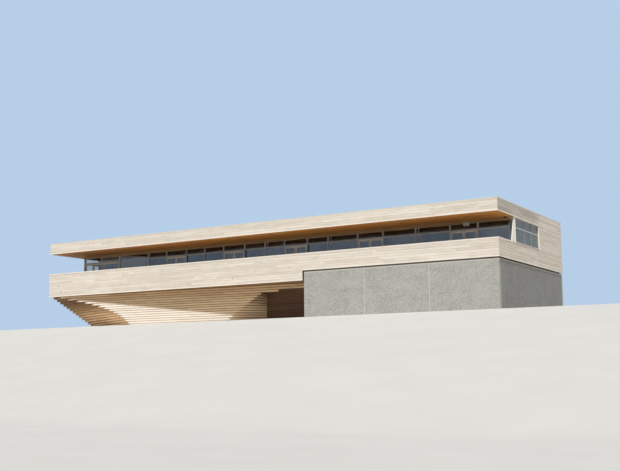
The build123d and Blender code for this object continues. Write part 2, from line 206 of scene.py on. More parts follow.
class Recipe:
    """A node tree that is built node by node."""

    def __init__(self, tree):
        self.tree = tree

    def feed(self, socket, value):
        """Link a field to a socket, or set the socket's own value."""
        if isinstance(value, Field):
            self.tree.links.new(value.socket, socket)
        elif socket.type == "RGBA" and len(value) == 3:
            socket.default_value = (*value, 1)
        else:
            socket.default_value = value

    def node(self, kind, options, inputs, output=None):
        """A node with its options set first, then its shown sockets in order or by name."""
        node = self.tree.nodes.new("ShaderNode" + kind)
        for option, value in options.items():
            setattr(node, option, value)
        shown = [socket for socket in node.inputs if socket.enabled]
        if isinstance(inputs, dict):
            named = {socket.name: socket for socket in shown}
            pairs = [(named[name], value) for name, value in inputs.items()]
        else:
            pairs = zip(shown, inputs)
        for socket, value in pairs:
            self.feed(socket, value)
        results = [socket for socket in node.outputs if socket.enabled]
        if output:
            results = [socket for socket in results if socket.name == output]
        return Field(self, results[0])

    def ray(self, kind):
        """One where a ray is of this kind, and nothing elsewhere."""
        return self.node("LightPath", {}, [], output=f"Is {kind} Ray")


class Finish(Recipe):
    """A material, with what its noises and masks need."""

    def __init__(self, name, **shader):
        self.material = bpy.data.materials.new(name)
        self.material.use_nodes = True
        super().__init__(self.material.node_tree)
        self.shader = self.tree.nodes["Principled BSDF"]
        self.place = self.node("TexCoord", {}, [], output="Object")
        for socket, value in shader.items():
            self.set(socket.replace("_", " "), value)

    def set(self, socket, value):
        """Feed a socket of the shader itself."""
        self.feed(self.shader.inputs[socket], value)

    def axis(self, name):
        """One of the three Object coordinates."""
        return self.node("SeparateXYZ", {}, [self.place], output=name)

    def stretched(self, scale, shift=None):
        """Object coordinates stretched along each axis, and moved for each board."""
        place = self.node("VectorMath", {"operation": "MULTIPLY"}, [self.place, scale])
        if shift is None:
            return place
        return self.node("VectorMath", {"operation": "ADD"}, [place, shift])

    def noise(self, vector, scale=1.0, detail=3.0, roughness=0.5):
        """Noise from 0 to 1, about 0.5 on average."""
        values = {"Vector": vector, "Scale": scale, "Detail": detail, "Roughness": roughness}
        return self.node("TexNoise", {}, values)

    def spread(self, value, low, high, new_low=0.0, new_high=1.0):
        """Stretch a range of values on to another, and clip what lies outside."""
        return self.node("MapRange", {"clamp": True}, [value, low, high, new_low, new_high])

    def mix(self, factor, first, second, kind="RGBA"):
        """Mix two colours, or two numbers where the kind is FLOAT."""
        values = {"Factor": factor, "A": first, "B": second}
        return self.node("Mix", {"data_type": kind}, values)

    def tone(self):
        """The number from 0 to 1 that each board was given when it was laid."""
        return self.node("Attribute", {"attribute_name": "tone"}, [], output="Fac")

    def look(self, colour, field, smoothest, roughest):
        """Set the colour, and let a noise vary the roughness."""
        self.set("Base Color", colour)
        self.set("Roughness", self.spread(field, 0.3, 0.7, smoothest, roughest))
        return self.material

    def bump(self, height, distance):
        """Raise the surface by a height, in metres."""
        values = {"Height": height, "Distance": distance, "Strength": 1.0}
        self.set("Normal", self.node("Bump", {}, values))


# %% [markdown]
# ## The stage
# The house stands on a plain pale terrace. The eye is below the foot of the house, so the
# terrace falls away in front of it and meets a lower floor, or its edge would hide the walls.
# It starts as one plane, whose front edge is extruded twice, down the slope and out again, and
# the two folds are bevelled until they are soft. The camera sees the floor nearly white, while
# the light that it sends back up is a little warmer, which suits the boards above it.

# %% Stage floor
stage_reach = 420.0
terrace_margin = 1.6
slope_run, slope_drop = 30.0, 5.4
fold_width, fold_steps = 1.2, 8
terrace_edge = front_y - terrace_margin

bpy.ops.mesh.primitive_plane_add(size=1, location=(0, (stage_reach + terrace_edge) / 2, 0))
bpy.context.object.scale = (2 * stage_reach, stage_reach - terrace_edge, 1)
stage = settle("stage_floor")
pick(stage, "EDGE", lambda a, b: a.y < 0 and b.y < 0)
for step in ((0, -slope_run, -slope_drop), (0, terrace_edge + slope_run - stage_reach, 0)):
    bpy.ops.mesh.extrude_region_move(TRANSFORM_OT_translate={"value": step})
bpy.ops.object.mode_set(mode="OBJECT")
fold_lines = (terrace_edge, terrace_edge - slope_run)
bevel_edges(
    stage,
    fold_width,
    lambda a, b: any(abs(a.y - y) < 0.01 and abs(b.y - y) < 0.01 for y in fold_lines),
    segments=fold_steps,
)
only(stage)
bpy.ops.object.shade_smooth()
print("terrace edge at y", round(terrace_edge, 2))

# %% Finish of the stage floor
stage_tones = (0.60, 0.595, 0.58), (0.66, 0.655, 0.64)
bounced_tone = (0.84, 0.775, 0.68)
stage_finish = Finish("stage_pale", Roughness=0.9, Specular_IOR_Level=0.1)
seen = stage_finish.ray("Camera")
mottle = stage_finish.noise(stage_finish.stretched((0.4, 0.4, 0.4)), detail=2.0)
pale = stage_finish.mix(mottle, *stage_tones)
stage_finish.set("Base Color", stage_finish.mix(seen, bounced_tone, pale))
stage.data.materials.append(stage_finish.material)
print("stage finish:", len(stage_finish.tree.nodes), "nodes")

# %% [markdown]
# ## Light
# The sun stands to the front right and well up, so the right end is a shade darker than the front
# and the band throws a slanting shadow on the turned base wall. Its disc is wider than the real
# one, to soften the edges. The surroundings give a plain fill. A weak lamp lies low in front of
# the cut-away corner, turned up and in: it lends the boards under the overhang the warm light
# that comes back from below. Camera, glossy and see-through rays meet a plain pale blue backdrop,
# which the panes mirror.

# %% Sun and warm bounce
sun_side, sun_height = radians(20), radians(57.0)
bpy.ops.object.light_add(type="SUN", location=(20, -30, 30))
sun = bpy.context.object
sun.name = "sun"
sun.data.energy = 3.26
sun.data.angle = radians(2.5)
sun.data.color = (1.0, 0.965, 0.91)
sun.rotation_euler = (pi / 2 - sun_height, 0, sun_side)

bounce_place, bounce_turn = (-16.2, -5.0, 0.10), (radians(140), 0, radians(-30))
bpy.ops.object.light_add(type="AREA", location=bounce_place)
bounce = bpy.context.object
bounce.name = "bounce"
bounce.data.shape = "RECTANGLE"
bounce.data.size, bounce.data.size_y = 6.5, 2.0
bounce.data.energy = 26
bounce.data.color = (1.0, 0.90, 0.76)
bounce.rotation_euler = bounce_turn
bounce.visible_camera = bounce.visible_glossy = False
print("sun strength", sun.data.energy, "bounce", bounce.data.energy, "W")

# %% Surroundings
fill_light = {"Color": (0.86, 0.93, 1.0), "Strength": 0.30}
backdrop_light = {"Color": (0.47, 0.62, 0.80), "Strength": 1.0}
world = bpy.data.worlds.new("surroundings")
bpy.context.scene.world = world
world.use_nodes = True
around = Recipe(world.node_tree)
around.tree.nodes.remove(around.tree.nodes["Background"])
fill = around.node("Background", {}, fill_light)
backdrop = around.node("Background", {}, backdrop_light)
seen = around.ray("Camera") | around.ray("Glossy") | around.ray("Transmission")
blend = around.node("MixShader", {}, [seen, fill, backdrop])
around.feed(around.tree.nodes["World Output"].inputs["Surface"], blend)
print("world nodes:", len(around.tree.nodes))

# %% [markdown]
# ## Weathered boards
# The cladding is softwood that the weather has bleached to a pale cream. Each board has its own
# tone, a fine grain along its length, slow patches where it dried unevenly, and here and there
# a small knot. The tone is an attribute that every board gets when it is laid, and it also
# moves the grain, so that no two boards repeat.

# %% Weathered timber
grain_scale, patch_scale, knot_scale = (0.8, 0.8, 34.0), (0.9, 0.9, 3.0), (1.1, 1.1, 6.0)
knot_share, grain_height = 0.6, 0.0012


def board_grain(finish):
    """Grain, slow patches and knots of boards that run level, each with its own pattern."""
    tone = finish.tone()
    shift = finish.node("CombineXYZ", {}, [tone * 31.0, tone * 17.0, tone * 53.0])
    grain = finish.noise(finish.stretched(grain_scale, shift), detail=4.0)
    patch = finish.noise(finish.stretched(patch_scale, shift), detail=2.0)
    values = {"Vector": finish.stretched(knot_scale, shift), "Scale": 1.0}
    spot = finish.node("TexVoronoi", {"feature": "F1"}, values)
    knot = finish.spread(spot, 0.05, 0.11, 1.0, 0.0)
    return tone, grain, patch, knot


def board_surface(finish, colour, grain, knot, knot_tone, smoothest, roughest):
    """Set knots into the colour, and let the grain be felt."""
    finish.bump(grain, grain_height)
    colour = finish.mix(knot * knot_share, colour, knot_tone)
    return finish.look(colour, grain, smoothest, roughest)


def weathered(name, tones, knot_tone, contrast=1.0, further=None):
    """A board finish between two tones. Further: an axis, where it turns, and two more tones."""
    finish = Finish(name, Specular_IOR_Level=0.25)
    tone, grain, patch, knot = board_grain(finish)
    depth = (tone - 0.5) * 0.75 * contrast + (grain - 0.5) * 0.9 + (patch - 0.5) * 1.2 + 0.45
    depth = finish.spread(depth, 0.0, 1.0)
    colour = finish.mix(depth, *tones)
    if further:
        axis, start, stop, further_tones = further
        turned = finish.spread(finish.axis(axis), start, stop)
        colour = finish.mix(turned, colour, finish.mix(depth, *further_tones))
    return board_surface(finish, colour, grain, knot, knot_tone, 0.62, 0.8)


# %% Finishes of the boards
# The boards of the right fascia are greyer in front, beside the open deck, and end as pale as the
# wall. The soffit is painted darker towards its left end: painted shade.
band_tones = (0.775, 0.73, 0.675), (0.605, 0.56, 0.50)
band_knot = (0.34, 0.25, 0.17)
window_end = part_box("side_window_frame")[1].y
grey_end = ("Y", window_end - 1.2, window_end + 1.0, band_tones)
soffit_painted_shade_end = ("X", left_x + 10.0, left_x + 2.0, ((0.42, 0.205, 0.078), (0.26, 0.115, 0.040)))
band_finish = weathered("bleached_boards", band_tones, band_knot, contrast=0.85)
side_fascia_finish = weathered(
    "side_fascia_boards", ((0.58, 0.55, 0.515), (0.395, 0.37, 0.34)), band_knot, further=grey_end
)
# The edge boards are paler than the cladding, partly as painted highlight along the edges.
edge_highlight_finish = weathered(
    "edge_boards", ((0.83, 0.785, 0.725), (0.725, 0.68, 0.62)), (0.5, 0.4, 0.3), contrast=0.5
)
soffit_finish = weathered(
    "oiled_soffit", ((0.61, 0.29, 0.086), (0.39, 0.163, 0.043)), (0.14, 0.065, 0.025),
    contrast=0.7, further=soffit_painted_shade_end,
)
# The boards at the back of the recess are painted nearly black: painted shade.
backing_finish, deck_finish, beam_finish, floor_finish, recess_painted_shade_finish = (
    weathered(name, tones, knot_tone) for name, tones, knot_tone in (
        ("dark_backing", ((0.20, 0.14, 0.09), (0.11, 0.075, 0.05)), (0.05, 0.03, 0.02)),
        ("deck_planks", ((0.60, 0.55, 0.47), (0.42, 0.37, 0.30)), (0.2, 0.14, 0.1)),
        ("dark_beam", ((0.27, 0.17, 0.075), (0.17, 0.10, 0.045)), (0.06, 0.04, 0.02)),
        ("floor_timber", ((0.45, 0.31, 0.19), (0.30, 0.20, 0.12)), (0.15, 0.09, 0.05)),
        ("recess_boards", ((0.17, 0.09, 0.055), (0.10, 0.05, 0.03)), (0.05, 0.03, 0.02)),
    )
)
print("a board finish has", len(band_finish.node_tree.nodes), "nodes")

# %% [markdown]
# The boards of the base sit under the overhanging band. Where the sun and rain reach them they are
# as pale as the rest, and where the band and the steps shelter them the timber has kept its golden
# brown. The sheltered zone ends along the line of the band's own shadow: the base wall turns away
# from the band as it runs to the right, and the line drops with it. The golden zone follows that
# cast shadow, so its colour is partly the timber's own and partly painted shade, and under the
# band it is painted darker towards the top: painted shade.

# %% Sheltered timber of the base, with painted shade
base_turn = radians(4.0)
base_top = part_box("base_corner")[1].z
shade_angle = radians(58.6)
shadow_line_slope = tan(base_turn) * tan(shade_angle)
turning_edge = left_x + 0.01


def sheltered_and_painted_shade(name, bleached_tones, golden_tones, painted_shade_top_tones, darkening=(0.9, 2.6)):
    """Boards bleached below the band's shadow line and golden above it, partly painted shade, and
    darkest at the top, which is painted shade.
    """
    finish = Finish(name, Specular_IOR_Level=0.25)
    tone, grain, patch, knot = board_grain(finish)
    depth = (tone - 0.5) * 0.8 + (grain - 0.5) * 0.9 + (patch - 0.5) * 0.6 + 0.45
    depth = finish.spread(depth, 0.0, 1.0)
    across, back, up = (finish.axis(letter) for letter in "XYZ")
    # Painted shade: the golden tone follows the band's cast shadow and the boards set back under
    # the steps.
    shade_line = base_top - (across - left_x) * shadow_line_slope
    in_shade = finish.spread(up - shade_line + (patch - 0.5) * 0.25, -0.12, 0.06)
    wall_line = (across - left_x) * tan(base_turn) + front_y
    set_back = finish.spread(back - wall_line, 0.10, 0.20) * (across > turning_edge)
    bleached_tone, golden_tone, top_tone = (
        finish.mix(depth, *tones) for tones in (bleached_tones, golden_tones, painted_shade_top_tones)
    )
    # Painted shade: the golden tone darkens towards the top of the base, under the band.
    golden_tone = finish.mix(finish.spread(up, *darkening), golden_tone, top_tone)
    colour = finish.mix(in_shade | set_back, bleached_tone, golden_tone)
    return board_surface(finish, colour, grain, knot, (0.20, 0.12, 0.07), 0.6, 0.78)


# %% Finishes of the base
# The corner is golden low down, a tone raised as painted light for the warm light that comes back
# from below, and it is painted dark at its top: painted shade. The rear and the left side of the
# base stand in the open and are bleached all over.
bleached = (0.90, 0.845, 0.77), (0.78, 0.715, 0.63)
golden = (0.88, 0.70, 0.49), (0.68, 0.505, 0.33)
# Painted shade: these top tones darken the golden zone at its top.
golden_painted_shade_top = (0.66, 0.49, 0.31), (0.44, 0.305, 0.18)
corner_golden_painted_bounce = (0.93, 0.71, 0.46), (0.72, 0.51, 0.30)
corner_painted_shade_top = (0.28, 0.165, 0.08), (0.18, 0.10, 0.045)
# Painted shade: the joints are dark where the band's shadow falls and pale elsewhere, and in the
# corner a lighter tone stands for the bounce from below, painted light.
bleached_backing = (0.30, 0.215, 0.14), (0.21, 0.145, 0.09)
corner_backing = (0.42, 0.28, 0.165), (0.30, 0.195, 0.11)
shaded_backing = (0.13, 0.08, 0.04), (0.08, 0.05, 0.025)
base_finish = sheltered_and_painted_shade("base_boards", bleached, golden, golden_painted_shade_top)
corner_finish = sheltered_and_painted_shade("corner_boards", bleached, corner_golden_painted_bounce, corner_painted_shade_top, (0.75, 1.95))
base_backing_finish = sheltered_and_painted_shade("base_backing", bleached_backing, shaded_backing, shaded_backing)
corner_backing_finish = sheltered_and_painted_shade(
    "corner_backing", bleached_backing, corner_backing, shaded_backing
)
open_finish = weathered("open_base_boards", bleached, band_knot)
open_backing_finish = weathered("open_base_backing", bleached_backing, (0.10, 0.07, 0.05))
print("shelter falls", round(shadow_line_slope, 3), "m for each metre")

# %% [markdown]
# ## Concrete
# The block is precast and board-marked: slow clouds, faint streaks that run down from the top, a
# fine speckle and a paler top edge. Its right end faces away from the light and is painted darker:
# painted shade. The joints are filled with a pale sealant.

# %% Concrete finishes
concrete_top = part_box("concrete_front_wall")[1].z
edge_start, edge_full = concrete_top - 0.10, concrete_top - 0.05
concrete_relief = 0.003


def precast(name, pale_tone, deep_tone, top_tone):
    """Mottled concrete with a paler top edge."""
    finish = Finish(name, Specular_IOR_Level=0.2)
    cloud = finish.noise(finish.stretched((0.9, 0.9, 1.4)), detail=6.0, roughness=0.7)
    streak = finish.noise(finish.stretched((2.6, 2.6, 0.22)), detail=3.0)
    speckle = finish.noise(finish.place, scale=13.0, detail=5.0, roughness=0.7)
    depth = (cloud - 0.5) * 1.6 + (streak - 0.5) * 0.35 + (speckle - 0.5) * 4.4 + 0.5
    colour = finish.mix(finish.spread(depth, 0.0, 1.0), pale_tone, deep_tone)
    top_edge = finish.spread(finish.axis("Z") + (cloud - 0.5) * 0.05, edge_start, edge_full)
    finish.bump(speckle + cloud, concrete_relief)
    colour = finish.mix(top_edge * 0.8, colour, top_tone)
    return finish.look(colour, speckle, 0.78, 0.92)


concrete_finish = precast(
    "precast_front", (0.445, 0.46, 0.445), (0.30, 0.312, 0.30), (0.57, 0.585, 0.57)
)
# Painted shade: the right end of the block is given darker tones.
end_concrete_painted_shade_finish = precast(
    "precast_end_painted_shade", (0.31, 0.32, 0.32), (0.20, 0.205, 0.21), (0.42, 0.43, 0.43)
)
print("concrete stands", round(concrete_top, 3), "m high")

# %% [markdown]
# ## Metal and small fittings
# The rest is smooth, but nothing is one flat colour: paint gathers a little dust, plastic dulls
# and a membrane ponds. One rule mixes two close tones by noise and varies the roughness with it.
# A band of other tones between two levels darkens the posts above the transoms and brightens the
# transom of the side window, which catches the light.

# %% Plain finishes
door_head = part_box("door_3")[1].z
glass_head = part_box("front_glass")[1].z
window_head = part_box("side_window_frame")[1].z
transom = door_head + 0.08
above_transom = (transom, glass_head + 1.0, ((0.37, 0.355, 0.33), (0.31, 0.295, 0.275)))
window_transom = (
    window_head - 0.705, window_head - 0.625, ((0.52, 0.545, 0.585), (0.44, 0.465, 0.50))
)
satin, matt, gloss = (0.42, 0.58), (0.75, 0.92), (0.15, 0.3)


def clouded(name, tones, rough=satin, scale=2.0, band=None, **shader):
    """Two close tones in slow clouds, or two others between two levels."""
    finish = Finish(name, **shader)
    cloud = finish.noise(finish.place, scale=scale, detail=4.0)
    depth = finish.spread(cloud, 0.3, 0.7)
    colour = finish.mix(depth, *tones)
    if band:
        low, high, band_pair = band
        up = finish.axis("Z")
        inside = (up > low) * (1.0 - (up > high))
        colour = finish.mix(inside, colour, finish.mix(depth, *band_pair))
    return finish.look(colour, cloud, *rough)


frame_finish = clouded("taupe_frames", ((0.61, 0.60, 0.55), (0.52, 0.51, 0.465)))
post_finish = clouded(
    "taupe_posts", ((0.40, 0.455, 0.51), (0.335, 0.385, 0.435)), band=above_transom
)
rail_finish = clouded("grey_rails", ((0.40, 0.40, 0.39), (0.33, 0.33, 0.32)))
end_cover_finish = clouded("end_cover", ((0.13, 0.14, 0.16), (0.10, 0.11, 0.13)))
white_finish = clouded("white_lining", ((0.88, 0.87, 0.82), (0.80, 0.79, 0.74)), (0.4, 0.55))
grey_finish = clouded(
    "grey_frames", ((0.31, 0.335, 0.35), (0.25, 0.27, 0.285)), (0.4, 0.55), band=window_transom
)
sill_finish = clouded("grey_sill", ((0.55, 0.555, 0.57), (0.48, 0.485, 0.50)), (0.45, 0.6))
capping_finish = clouded(
    "roof_capping", ((0.66, 0.625, 0.565), (0.58, 0.55, 0.495)), (0.45, 0.6)
)
dark_finish = clouded("dark_strips", ((0.035, 0.032, 0.028), (0.02, 0.018, 0.016)), (0.4, 0.6))
dome_finish = clouded(
    "dark_dome", ((0.03, 0.03, 0.032), (0.015, 0.015, 0.017)), gloss, scale=9.0
)
light_finish = clouded(
    "light_box", ((0.40, 0.42, 0.375), (0.33, 0.35, 0.315)), (0.35, 0.5), scale=9.0
)
membrane_finish = clouded("membrane", ((0.25, 0.25, 0.24), (0.17, 0.17, 0.17)), matt, scale=0.7)
slab_finish = clouded("floor_concrete", ((0.46, 0.455, 0.44), (0.36, 0.355, 0.345)), (0.75, 0.9))
sealant_finish = clouded("sealant", ((0.57, 0.565, 0.54), (0.50, 0.495, 0.475)), (0.5, 0.65))
print("heads of doors and glass", round(door_head, 3), round(glass_head, 3))

# %% [markdown]
# ## Glass
# The front panes are strongly mirroring, and their colours add painted reflection. Below the
# transoms they are a cloudy blue grey, the painted reflection of the sky, paler towards the right
# end. Above the transoms they are dark: left of the picture pane this is painted reflection of the
# soffit, and from the picture pane on they are nearly clear, so that the dark room shows. The
# picture pane has no transom: it is paler, with a dark wedge of painted reflection along its head.
# In the corner bay on the left the panes are clear enough to look right through. The glass of the
# side and rear windows is nearly opaque and takes a dark olive colour, in slow upright streaks.

# %% Front panes
post_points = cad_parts["front_posts"].data.vertices
post_lines = sorted({round(point.co.x, 3) for point in post_points})
corner_end, picture_start, picture_end = (post_lines[index] for index in (2, 5, 6))
right_end = (16.0, 18.0)
wedge_drop = 0.28
# Painted reflection: the lower tones stand for the sky that the panes mirror, paler to the right,
# and the first upper tone for the soffit.
sky_reflection_tones = (0.022, 0.034, 0.060), (0.115, 0.135, 0.175)
right_end_reflection_tone, picture_tone = (0.24, 0.27, 0.31), (0.25, 0.28, 0.335)
upper_tones = (0.11, 0.10, 0.095), (0.02, 0.014, 0.01)


def mirrored(name):
    """Front panes with painted reflection, and the fields that also steer how much they let
    through.
    """
    panes = Finish(name, IOR=2.1)
    along, height = panes.axis("X"), panes.axis("Z")
    fold = panes.noise(panes.stretched((0.8, 0.8, 0.1)), detail=3.0, roughness=0.5)
    picture = (along > picture_start) * (1.0 - (along > picture_end))
    slant = panes.spread(along, picture_start, picture_end, glass_head, glass_head - wedge_drop)
    dark = height > picture * (slant - transom) + transom
    lower = panes.mix(panes.spread(fold, 0.38, 0.66), *sky_reflection_tones)
    lower = panes.mix(panes.spread(along, *right_end) * 0.6, lower, right_end_reflection_tone)
    lower = panes.mix(picture * 0.75, lower, picture_tone)
    upper = panes.mix(along > picture_start, *upper_tones)
    panes.look(panes.mix(dark, lower, upper), fold, 0.02, 0.06)
    return panes, along, dark


lower_alpha, upper_alpha, corner_alpha = 0.80, 0.22, 0.10
panes, along, dark = mirrored("front_glass")
alpha = panes.spread(dark * (along > picture_start), 0.0, 1.0, lower_alpha, upper_alpha)
panes.set("Alpha", panes.mix(1.0 - (along > corner_end), alpha, corner_alpha, kind="FLOAT"))
front_glass_finish = panes.material
end_pane_finish = mirrored("end_pane")[0].material
left_glass_finish = clouded(
    "left_glass", ((0.02, 0.024, 0.028), (0.03, 0.034, 0.038)), (0.02, 0.05), scale=0.6,
    IOR=1.9, Alpha=0.20,
)
print("picture pane from", picture_start, "to", picture_end)

# %% Streaked panes of the side and rear windows
# The side and rear panes are nearly opaque: dark olive in slow upright streaks, and browner above
# the transom.
streak_tones = (0.145, 0.145, 0.10), (0.083, 0.083, 0.057)
upper_pane_tone = (0.128, 0.108, 0.072)
streaked_panes = Finish("streaked_window_glass", IOR=1.5, Alpha=0.94)
fold = streaked_panes.noise(streaked_panes.stretched((5.0, 5.0, 0.05)), detail=3.0, roughness=0.6)
upper = streaked_panes.spread(streaked_panes.axis("Z"), window_head - 0.69, window_head - 0.64)
cloth = streaked_panes.mix(streaked_panes.spread(fold, 0.3, 0.7), *streak_tones)
streaked_pane_finish = streaked_panes.look(streaked_panes.mix(upper, cloth, upper_pane_tone), fold, 0.06, 0.14)
print("olive panes end at", round(window_head, 3))

# %% Dress the nodes of the frame
for finish, names in (
    (backing_finish, (
        "front_parapet", "left_parapet", "right_parapet", "right_wall", "rear_wall", "left_wall",
        "front_fascia", "rear_fascia", "left_fascia", "right_fascia", "roof_deck", "recess_wall",
    )),
    (base_backing_finish, ("base_front_wall",)),
    (open_backing_finish, ("base_left_wall", "base_rear_wall")),
    (corner_backing_finish, ("base_corner",)),
    (concrete_finish, ("concrete_front_wall", "concrete_rear_wall", "concrete_left_wall")),
    (end_concrete_painted_shade_finish, ("concrete_right_wall",)),
    (slab_finish, ("ground_slab", "floor_slab")),
    (soffit_finish, ("soffit_boards",)),
    (beam_finish, ("floor_beams", "head_beams", "base_soffit")),
    (floor_finish, ("room_floor",)),
    (post_finish, ("front_posts",)),
    (rail_finish, ("front_rails",)),
    (frame_finish, ("left_frame", *(f"door_{number}" for number in range(1, 8)))),
    (white_finish, ("tapered_jamb",)),
    (grey_finish, ("side_window_frame", "rear_window_frames")),
    (front_glass_finish, ("front_glass",)),
    (left_glass_finish, ("left_glass",)),
    (streaked_pane_finish, ("window_glass",)),
    (membrane_finish, ("roof_membrane",)),
    (dome_finish, ("soffit_dome",)),
    (light_finish, ("light_box",)),
):
    for name in names:
        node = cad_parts[name]
        node.data.materials.clear()
        node.data.materials.append(finish)
print("finishes:", len(bpy.data.materials))

# %% [markdown]
# ## One board, laid many times
# All the cladding is one board: a cuboid with its two outer edges eased. It is laid by
# stretching a copy from one point to another, so the copies keep their square ends. The board's
# eased face looks out, and its width grows to the side that along and out give. A long line is
# cut into lengths that a timber yard sells, and the butt joints of one course keep clear of
# those of the course below.

# %% The model board
board_thickness = 0.020
board_width = 0.165
easing = 0.004
bpy.ops.object.select_all(action="DESELECT")
middle = Vector((1, board_thickness, board_width)) / 2
bpy.ops.mesh.primitive_cube_add(size=1, location=middle)
bpy.context.object.scale = middle * 2
model_board = settle("model_board")
bevel_edges(
    model_board,
    easing,
    lambda a, b: min(a.y, b.y) > 0.01 and abs(a.z - b.z) < 0.01 and abs(a.x - b.x) > 0.5,
)
print("model board", len(model_board.data.polygons), "faces")


def place_board(start, end, out, width, thickness=board_thickness, tone=0.5):
    """Stretch a copy of the board from start to end and store its tone."""
    along, out = Vector(end) - Vector(start), Vector(out)
    across = along.normalized().cross(out)
    columns = (along, out * (thickness / board_thickness), across * (width / board_width))
    stretch = Matrix(columns).transposed().to_4x4()
    board = copy_of(model_board, Matrix.Translation(start) @ stretch)
    layer = board.data.attributes.new("tone", "FLOAT", "POINT")
    layer.data.foreach_set("value", [tone] * len(board.data.vertices))
    return board


# %% Lay boards end to end
course_pitch = 0.173
fine_joint, side_joint, wide_joint = 0.008, 0.012, 0.036
butt_gap, butt_clearance = 0.004, 0.35
shortest, longest = 2.1, 5.1
first_cut, last_length, settle_share = 0.8, 0.7, 0.05
unevenness, thinnest_course = 0.0012, 0.02
UP, DOWN = Vector((0, 0, 1)), Vector((0, 0, -1))
FRONT, REAR = Vector((0, -1, 0)), Vector((0, 1, 0))
LEFT, RIGHT = Vector((-1, 0, 0)), Vector((1, 0, 0))


def cut_lengths(length, chance, previous=()):
    """Butt joints along a line, clear of those of the course below."""
    while True:
        cuts, reach = [], chance.uniform(first_cut, longest)
        while reach < length - last_length:
            cuts.append(reach)
            reach += chance.uniform(shortest, longest)
        clear = all(abs(a - b) > butt_clearance for a in cuts for b in previous)
        if clear or chance.random() < settle_share:
            return cuts


def lay_lengths(start, end, out, width, thickness, chance, cuts=None):
    """Boards end to end from start to end."""
    start, end = Vector(start), Vector(end)
    length = (end - start).length
    along = (end - start) / length
    stops = [0, *(cut_lengths(length, chance) if cuts is None else cuts), length]
    boards = []
    for first, last in zip(stops, stops[1:]):
        first += butt_gap / 2 if first else 0
        last -= butt_gap / 2 if last < length else 0
        ends = start + along * first, start + along * last
        boards.append(place_board(*ends, out, width, thickness, chance.random()))
    return boards


def lay_courses(runs, low, high, joint, chance):
    """Courses over runs of wall between two levels. A run has the outside on its left."""
    boards = []
    previous = {}
    level = low
    while level < high - thinnest_course:
        top = min(level + course_pitch, high)
        for number, (start, end) in enumerate(runs):
            start, end = Vector((*start, level)), Vector((*end, level))
            out = UP.cross((end - start).normalized())
            cuts = cut_lengths((end - start).length, chance, previous.get(number, ()))
            previous[number] = cuts
            thickness = board_thickness + chance.uniform(-unevenness, unevenness)
            boards += lay_lengths(start, end, out, top - joint - level, thickness, chance, cuts)
        level += course_pitch
    return boards


def clad(name, fields, seed, joint=fine_joint, finish=band_finish):
    """One piece of cladding from several fields, each with its runs and its two levels."""
    chance = random.Random(seed)
    boards = []
    for *runs, low, high in fields:
        boards += lay_courses(runs, low, high, joint, chance)
    print(len(boards), "boards")
    finish_piece(name, boards, finish)


# %% [markdown]
# ## Cladding of the upper storey
# The parapet band, the walls and the fascia carry the same boards on one plane, so the courses
# run past the corners at one height. The front boards cover the ends of the side boards. All
# levels and lines are read from the frame's own walls.

# %% Levels and corners
parapet_low, parapet_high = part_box("front_parapet")
fascia_low, fascia_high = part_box("front_fascia")
window_low, window_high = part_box("side_window_frame")
wall_low, left_wall_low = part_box("right_wall")[0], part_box("left_wall")[0]
band_foot, parapet_top, band_top = parapet_low.z, parapet_high.z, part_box("parapet_cap")[1].z
shallow_foot, soffit_level, fascia_top = wall_low.z, fascia_low.z, fascia_high.z
proud = board_thickness
step_x = min(
    point.co.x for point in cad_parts["front_parapet"].data.vertices
    if left_x + 1 < point.co.x < right_x - 1
)
print("band", round(band_foot, 3), round(band_top, 3), "step at x", round(step_x, 3))


def front_run(first, last):
    """A stretch of one side, as two points that have the outside on their left."""
    return (last, front_y), (first, front_y)


def rear_run(first, last):
    return (first, back_y), (last, back_y)


def right_run(first, last):
    return (right_x, last), (right_x, first)


def left_run(first, last):
    return (left_x, first), (left_x, last)


# %% Find the solids of a node
# A CAD node is loose triangles. Points at one place, or joined by an edge, are on one solid.
def solid_boxes(name):
    """The low and high corner of each solid in a CAD node, from left to right."""
    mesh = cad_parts[name].data
    first_at = {}
    leader = [
        first_at.setdefault(tuple(round(c, 4) for c in point.co), point.index)
        for point in mesh.vertices
    ]

    def lead(index):
        while leader[index] != index:
            index = leader[index]
        return index

    for edge in mesh.edges:
        leader[lead(edge.vertices[0])] = lead(edge.vertices[1])
    groups = {}
    for point in mesh.vertices:
        groups.setdefault(lead(point.index), []).append(point.co)
    boxes = [
        tuple(Vector(map(end, zip(*group))) for end in (min, max)) for group in groups.values()
    ]
    return sorted(boxes, key=lambda box: tuple(box[0]))


rear_windows = [(low.x, high.x) for low, high in solid_boxes("rear_window_frames")]
print("rear windows", [(round(a, 2), round(b, 2)) for a, b in rear_windows])

# %% Lay the cladding
front_ends = (left_x - proud, right_x + proud)
side_ends = (front_y, back_y)
rear_stops = [front_ends[0], *(x for window in rear_windows for x in window), front_ends[1]]
rear_piers = list(zip(rear_stops[::2], rear_stops[1::2]))
course_line = shallow_foot + 6 * course_pitch
left_course_line = band_foot + 10 * course_pitch

